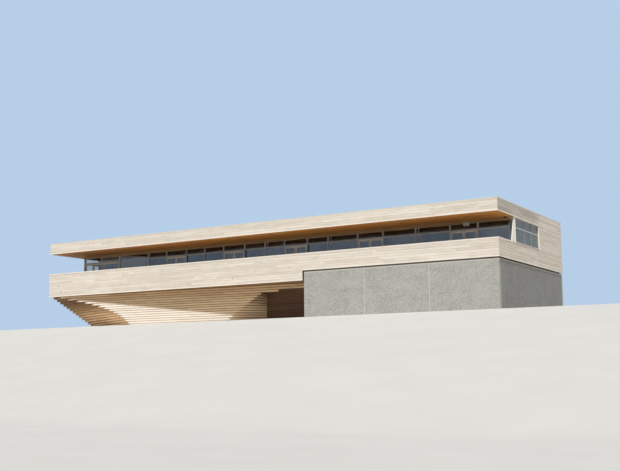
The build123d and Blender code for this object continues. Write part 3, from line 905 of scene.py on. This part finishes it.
clad("front_band_boards", [
    (front_run(front_ends[0], step_x), band_foot, shallow_foot),
    (front_run(*front_ends), shallow_foot, parapet_top),
], seed=3)
clad("front_fascia_boards", [(front_run(*front_ends), soffit_level, fascia_top)], seed=4)
clad("right_wall_boards", [
    (right_run(*side_ends), shallow_foot, course_line),
    (right_run(front_y, wall_low.y), course_line, parapet_top),
    (right_run(wall_low.y, back_y), course_line, band_top),
    (right_run(window_high.y, back_y), band_top, soffit_level),
], seed=5, joint=side_joint)
clad("right_fascia_boards", [
    (right_run(*side_ends), soffit_level, fascia_top),
], seed=13, joint=side_joint, finish=side_fascia_finish)
clad("left_wall_boards", [
    (left_run(*side_ends), band_foot, left_course_line),
    (left_run(front_y, left_wall_low.y), left_course_line, parapet_top),
    (left_run(left_wall_low.y, back_y), left_course_line, soffit_level),
    (left_run(*side_ends), soffit_level, fascia_top),
], seed=6, joint=side_joint)
clad("rear_wall_boards", [
    (rear_run(front_ends[0], step_x), band_foot, shallow_foot),
    (rear_run(*front_ends), shallow_foot, band_top),
    (*(rear_run(*pier) for pier in rear_piers), band_top, soffit_level),
    (rear_run(*front_ends), soffit_level, fascia_top),
], seed=7)

# %% [markdown]
# ## Boards of the stepped base
# The base is set out by two rules. Its front wall turns back by four degrees, and at the left
# corner each course is cut away further than the one above: along the front by a curve that
# slows as it goes down, along the end by an even step. The right end steps back into a recess
# in the same way. The boards stand on those lines, with joints four times as wide as above,
# which is what draws the strong stripes in the shade.

# %% Lay the boards of the base
base_courses = 15
corner_reach, corner_pace = 9.68, 7.25
corner_start, corner_step, corner_margin = 0.15, 0.364, 0.5
lintel_courses = 2
recess_first, recess_second, recess_step = 21.7, 20.2, 0.28
recess_along, recess_depth = 19.7, 3.0
recess_corner = (left_x + recess_along, front_y + recess_depth)
concrete_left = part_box("concrete_left_wall")[0].x
corner_back = front_y + corner_start + corner_step * (base_courses + 1) + corner_margin


def base_line(distance):
    return left_x + distance, front_y + tan(base_turn) * distance


def side_arris(course):
    return left_x, front_y + corner_start + corner_step * course


def front_arris(course):
    return base_line(corner_reach * (1 - exp(-course / corner_pace)))


def recess_arris(course):
    if course <= lintel_courses + 1:
        return base_line(recess_first)
    return base_line(recess_second - recess_step * (course - lintel_courses - 2))


front_fields, corner_fields = [], []
for course in range(1, base_courses + 1):
    top = base_top - (course - 1) * course_pitch
    low = top - course_pitch
    turn = base_line(concrete_left - left_x) if course <= lintel_courses else recess_arris(course)
    front_fields.append(((turn, front_arris(course)), low, top))
    if course > lintel_courses:
        front_fields.append(((recess_corner, turn), low, top))
    corner_fields.append(((front_arris(course), side_arris(course)), low, top))
    corner_fields.append(((side_arris(course), (left_x, corner_back)), low, top))

recess_back = (concrete_left, recess_corner[1])
lintel_foot = base_top - lintel_courses * course_pitch
open_fields = [
    (left_run(corner_back, back_y), 0, base_top),
    (rear_run(left_x - proud, concrete_left), 0, base_top),
]
recess_fields = [((recess_back, recess_corner), 0, lintel_foot)]
for name, fields, seed, finish in (
    ("base_front_boards", front_fields, 8, base_finish),
    ("base_corner_boards", corner_fields, 9, corner_finish),
    ("base_rear_boards", open_fields, 10, open_finish),
    ("recess_boards", recess_fields, 12, recess_painted_shade_finish),
):
    clad(name, fields, seed, wide_joint, finish)

# %% [markdown]
# ## Edge boards
# The long edges are what the eye reads first, so each has a board of its own, planed and paler
# than the cladding: a cap along the parapet with a nose below it, a drip board along every lower
# edge, and an upright one where the band steps up. Their paler tone is partly painted highlight,
# for the bright line along each edge. The roof edge is capped with folded metal.
# The cap and the capping replace the plain ones of the frame. All edges draw their lengths and
# tones from one source of chance, in this order.

# %% Cap of the parapet
edge = random.Random(11)
edge_thickness = 0.022
cap_reach = 0.262
face = proud + edge_thickness
cap_line = front_y + cap_reach


def lay_flat(lines, level, top, width):
    """Boards that lie between two levels, each along a line and with its width on the right."""
    boards = []
    for start, end in lines:
        ends = (*start, level), (*end, level)
        boards += lay_lengths(*ends, UP, width, top - level, edge)
    return boards


cap_lines = (
    ((left_x - face, cap_line), (right_x + face, cap_line)),
    ((left_x + cap_reach, left_wall_low.y), (left_x + cap_reach, cap_line)),
    ((right_x - cap_reach, cap_line), (right_x - cap_reach, wall_low.y)),
)
cap_boards = lay_flat(cap_lines, parapet_top, band_top, cap_reach + face)
cap = finish_piece("parapet_cap_boards", cap_boards, edge_highlight_finish)
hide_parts("parapet_cap")

# %% Nose, drip boards and step board
nose_height, drip_height, drip, step_width = 0.062, 0.072, 0.014, 0.045
nose_level = parapet_top - nose_height
fascia_foot, shallow_drip, deep_drip = (
    level - drip for level in (soffit_level, shallow_foot, band_foot)
)
past_ends = (left_x - face, right_x + face)
past_sides = (front_y - proud, back_y + proud)
deep_part, shallow_part = (past_ends[0], step_x), (step_x, past_ends[1])
right_part, left_part = (past_sides[0], window_high.y), (past_sides[0], left_wall_low.y)


def trim(run, level, width, thickness=edge_thickness):
    """Edge boards on the face of the cladding, along a run of wall."""
    start, end = (Vector((*point, level)) for point in run)
    out = UP.cross((end - start).normalized())
    return lay_lengths(start + out * proud, end + out * proud, out, width, thickness, edge)


edge_boards = []
for run in (front_run(*past_ends), right_run(*right_part), left_run(*left_part)):
    edge_boards += trim(run, nose_level, nose_height)
for level, runs in (
    (fascia_foot, (front_run(*past_ends), rear_run(*past_ends))),
    (shallow_drip, (front_run(*shallow_part), rear_run(*shallow_part))),
    (deep_drip, (front_run(*deep_part), rear_run(*deep_part))),
    (shallow_drip, (right_run(*past_sides),)),
    (deep_drip, (left_run(*past_sides),)),
    (fascia_foot, (right_run(*right_part), left_run(*left_part))),
):
    for run in runs:
        edge_boards += trim(run, level, drip_height)
step_levels = (deep_drip + drip_height, shallow_drip)
for y, out, levels in (
    (past_sides[0], FRONT, step_levels), (past_sides[1], REAR, step_levels[::-1]),
):
    ends = ((step_x - step_width, y, level) for level in levels)
    edge_boards += lay_lengths(*ends, out, step_width, edge_thickness, edge)
finish_piece("edge_boards", edge_boards, edge_highlight_finish)

# %% Roof capping
capping_reach, flap_height, apron_thickness = 0.11, 0.045, 0.008
capping_face = proud + apron_thickness
capping_ends = (left_x - capping_face, right_x + capping_face)
inner_left, inner_right = left_x + capping_reach, right_x - capping_reach
inner_front, inner_back = front_y + capping_reach, back_y - capping_reach
capping_lines = (
    ((capping_ends[0], inner_front), (capping_ends[1], inner_front)),
    ((capping_ends[1], inner_back), (capping_ends[0], inner_back)),
    ((inner_right, inner_front), (inner_right, inner_back)),
    ((inner_left, inner_back), (inner_left, inner_front)),
)
capping = lay_flat(capping_lines, fascia_top, cad_box[1].z, capping_reach + capping_face)
for run in (
    front_run(*capping_ends), rear_run(*capping_ends),
    right_run(*past_sides), left_run(*past_sides),
):
    capping += trim(run, fascia_top - flap_height, flap_height, apron_thickness)
roof_capping = finish_piece("roof_capping", capping, capping_finish)
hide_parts("roof_trim")

# %% [markdown]
# ## Soffit and deck
# The soffit is lined with oiled planks that run along the house, and the deck has planks with
# open joints. Both are laid in rows, and the last row is ripped to the width that is left. The
# solid deck of the frame gives way to the planks.

# %% Lay planks
plank_gap, thinnest_row = 0.006, 0.01
soffit_width, soffit_thickness = 0.135, 0.010
deck_width, deck_thickness = 0.140, 0.028
glazing_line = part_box("front_posts")[0].y
soffit_low, soffit_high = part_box("soffit_boards")
beam_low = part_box("head_beams")[0]
deck_low, deck_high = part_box("deck")


def lay_rows(zones, level, out, width, thickness, seed):
    """Rows of planks along X over rectangular zones, facing up or down."""
    chance = random.Random(seed)
    planks = []
    for x_low, x_high, y_low, y_high in zones:
        ends = (x_low, x_high) if out is DOWN else (x_high, x_low)
        cuts = ()
        y = y_low
        while y < y_high - thinnest_row:
            cuts = cut_lengths(x_high - x_low, chance, cuts)
            row = min(width, y_high - y)
            start, end = ((x, y, level) for x in ends)
            planks += lay_lengths(start, end, out, row, thickness, chance, cuts)
            y += width + plank_gap
    return planks


soffit_zones = (
    (soffit_low.x, soffit_high.x, soffit_low.y, beam_low.y),
    (soffit_low.x, beam_low.x, beam_low.y, left_wall_low.y),
)
deck_zones = (
    (deck_low.x, deck_high.x, deck_low.y, glazing_line),
    (deck_low.x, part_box("left_frame")[0].x, glazing_line, left_wall_low.y),
)
planks = lay_rows(soffit_zones, soffit_level, DOWN, soffit_width, soffit_thickness, seed=21)
finish_piece("soffit_planks", planks, soffit_finish)
deck_foot = deck_high.z - deck_thickness
planks = lay_rows(deck_zones, deck_foot, UP, deck_width, deck_thickness, seed=22)
deck = finish_piece("deck_planks", planks, deck_finish)
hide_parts("deck")

# %% [markdown]
# ## Linings, beads and joints
# Openings are finished all round: white linings in the reveals, a sill below them with a grey
# apron on the boards under it, and a slim bead along every edge of every pane. One walk round the
# four corners does it, with each board facing into the opening. On the front, dark strips stand
# beside three pairs of doors, as painted shade beside their posts, and slim stiles beside three of
# the posts, and the right end post hides behind a strip of glass and a dark cover. All are thin
# boards on the panes and posts of the frame. The joints of the concrete get a recessed strip of
# sealant.

# %% Line the windows
lining_depth, lining_thickness = 0.086, 0.014
sill_reach, sill_thickness, apron_height = 0.115, 0.024, 0.055
sill_level = window_low.z


def opening_corners(low, high, normal):
    """The corners of an opening seen from outside, from the lower left one round."""
    first, last = sorted((low, high), key=UP.cross(normal).dot)
    return [
        Vector((first.x, first.y, low.z)), Vector((last.x, last.y, low.z)),
        Vector((last.x, last.y, high.z)), Vector((first.x, first.y, high.z)),
    ]


def round_opening(corners, normal, depth, thickness):
    """Four boards round an opening. They grow outwards from the plane of its corners."""
    return [
        place_board(a, b, normal.cross((b - a).normalized()), depth, thickness, edge.random())
        for a, b in zip(corners, corners[1:] + corners[:1])
    ]


side_face, rear_face = window_high.x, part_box("rear_window_frames")[1].y
windows = [((side_face, window_low.y), (side_face, window_high.y), RIGHT)]
windows += [((first, rear_face), (last, rear_face), REAR) for first, last in rear_windows]
linings = []
for first, last, normal in windows:
    low, high = Vector((*first, sill_level)), Vector((*last, soffit_level))
    corners = opening_corners(low, high, normal)
    linings += round_opening(corners, normal, lining_depth, lining_thickness)
    linings.append(place_board(*corners[:2], UP, sill_reach, sill_thickness))
finish_piece("window_linings", linings, white_finish)

aprons = []
for run in (
    right_run(window_low.y, window_high.y), *(rear_run(*window) for window in rear_windows)
):
    aprons += trim(run, sill_level - apron_height, apron_height)
finish_piece("sill_aprons", aprons, sill_finish)

# %% Glazing beads
bead_depth, bead_width = 0.012, 0.014
door_beads, window_beads = [], []
beaded = [(FRONT, door_beads, box) for box in solid_boxes("front_glass")]
beaded += [(LEFT, door_beads, box) for box in solid_boxes("left_glass")]
for low, high in solid_boxes("window_glass"):
    facing = RIGHT if high.y - low.y > high.x - low.x else REAR
    beaded.append((facing, window_beads, (low, high)))
for normal, beads, (low, high) in beaded:
    axis = 0 if normal.x else 1
    low[axis] = high[axis] = (high if normal[axis] > 0 else low)[axis]
    beads += round_opening(opening_corners(low, high, normal), normal, bead_depth, bead_width)
finish_piece("door_beads", door_beads, frame_finish)
finish_piece("window_beads", window_beads, grey_finish)

# %% Strips and stiles beside the posts
posts = solid_boxes("front_posts")
door_posts, stile_posts = (5, 8, 11), (9, 12, 15)
pane_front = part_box("front_glass")[0].y
strip_foot, strip_thickness = deck_high.z + 0.07, 0.016
strip_width, stile_width, stile_shift = 0.10, 0.05, 0.16


def beside_posts(numbers, shift, top, width):
    """Upright strips on the panes, each at a distance to the right of its post."""
    strips = []
    for number in numbers:
        ends = ((posts[number][1].x + shift, pane_front, z) for z in (strip_foot, top))
        strips.append(place_board(*ends, FRONT, width, strip_thickness))
    return strips


# Painted shade: each dark strip stands for the shade beside a door post.
dark_strips = beside_posts(door_posts, 0, door_head, strip_width)
finish_piece("dark_strips", dark_strips, dark_finish)
slim_stiles = beside_posts(stile_posts, stile_shift, glass_head, stile_width)
finish_piece("slim_stiles", slim_stiles, post_finish)

# %% Cover the end post
end_low, end_high = posts[-1]
end_pane_width, cover_thickness = 0.11, 0.008
cover_line = end_low.x + end_pane_width
for name, x_low, x_high, finish, slot in (
    ("end_pane", end_low.x, cover_line, end_pane_finish, "glass"),
    ("end_cover", cover_line, end_high.x, end_cover_finish, "frame_taupe"),
):
    ends = ((x_low, end_low.y, z) for z in (band_top, glass_head))
    cover = place_board(*ends, FRONT, x_high - x_low, cover_thickness)
    finish_piece(name, [cover], finish)

# %% Sealant in the concrete joints
sealant_depth, sealant_back, sealant_smear = 0.032, 0.028, 0.012
joints = []
for name, out in (("concrete_front_wall", FRONT), ("concrete_rear_wall", REAR)):
    panels = solid_boxes(name)
    for (_, before), (after, high) in zip(panels, panels[1:]):
        y = after.y + sealant_back if out is FRONT else high.y - sealant_back
        ends = [(before.x - sealant_smear, y, z) for z in (0, high.z)]
        if out is REAR:
            ends.reverse()
        width = after.x - before.x + 2 * sealant_smear
        joints.append(place_board(*ends, out, width, sealant_depth))
finish_piece("joint_sealant", joints, sealant_finish)

# %% Laps of the roof membrane
membrane_low, membrane_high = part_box("roof_membrane")
lap_pitch, lap_width, lap_height = 1.0, 0.08, 0.004
laps = []
x = membrane_low.x + lap_pitch
while x < membrane_high.x - lap_width:
    ends = ((x, y, membrane_high.z) for y in (inner_front, inner_back))
    laps.append(place_board(*ends, UP, lap_width, lap_height))
    x += lap_pitch
finish_piece("membrane_laps", laps, membrane_finish)

# %% [markdown]
# ## Handles and spouts
# Each pair of doors has a bar handle on both meeting stiles, and the single leaf has one. A bar
# is a cylinder with eased ends on two stand-offs. Three short spouts drain the deck through the
# band: a cylinder whose mouth is inset and pushed in.

# %% Bar handle
bar_length, bar_radius, bar_stand, bar_easing = 0.34, 0.012, 0.055, 0.003
stand_radius, stand_height, stand_easing = 0.008, 0.12, 0.002


def cylinder(name, radius, length, middle, axis, vertices=16):
    """A cylinder along an axis, with its place in its mesh."""
    turns = {"Y": (pi / 2, 0, 0), "Z": (0, 0, 0)}
    bpy.ops.object.select_all(action="DESELECT")
    bpy.ops.mesh.primitive_cylinder_add(
        radius=radius, depth=length, vertices=vertices, location=middle, rotation=turns[axis]
    )
    return settle(name)


model_bar = cylinder("bar", bar_radius, bar_length, (0, -bar_stand, 0), "Z")
bevel_edges(model_bar, bar_easing, lambda a, b: abs(a.z - b.z) < 0.001)
stands = [
    cylinder("stand", stand_radius, bar_stand, (0, -bar_stand / 2, z), "Y")
    for z in (-stand_height, stand_height)
]
for stand in stands:
    bevel_edges(stand, stand_easing, lambda a, b: abs(a.y - b.y) < 0.001)
model_handle = join("model_handle", [model_bar, *stands])
print("model handle", len(model_handle.data.polygons), "faces")

# %% Handles of the doors
handle_height, stile_middle = 1.05, 0.052
handles = []
for number in range(1, 8):
    leaves = solid_boxes(f"door_{number}")
    spots = [leaves[0][1].x - stile_middle]
    if len(leaves) > 1:
        spots.append(leaves[1][0].x + stile_middle)
    for x in spots:
        place = (x, leaves[0][0].y, deck_high.z + handle_height)
        handles.append(copy_of(model_handle, Matrix.Translation(place)))
only(finish_piece("door_handles", handles, dark_finish))
bpy.ops.object.shade_smooth_by_angle(angle=radians(40))

# %% Spouts
spout_radius, spout_reach, spout_wall, spout_sunk = 0.035, 0.05, 0.007, 0.01
spout_bore = spout_reach * 0.7
spout_places = (-18.40, 3.47), (-18.16, 3.0), (-0.77, 3.10)
spouts = []
for x, z in spout_places:
    middle = (x, front_y - proud - spout_reach / 2 + spout_sunk, z)
    spout = cylinder("spout", spout_radius, spout_reach, middle, "Y", vertices=20)
    pick(spout, "FACE", lambda centre, normal: normal.y < -0.9)
    bpy.ops.mesh.inset(thickness=spout_wall)
    bpy.ops.mesh.extrude_region_move(TRANSFORM_OT_translate={"value": (0, spout_bore, 0)})
    bpy.ops.object.mode_set(mode="OBJECT")
    spouts.append(spout)
finish_piece("deck_spouts", spouts, grey_finish)

# %% Remove the models
for model in (model_board, model_handle):
    bpy.data.objects.remove(model)
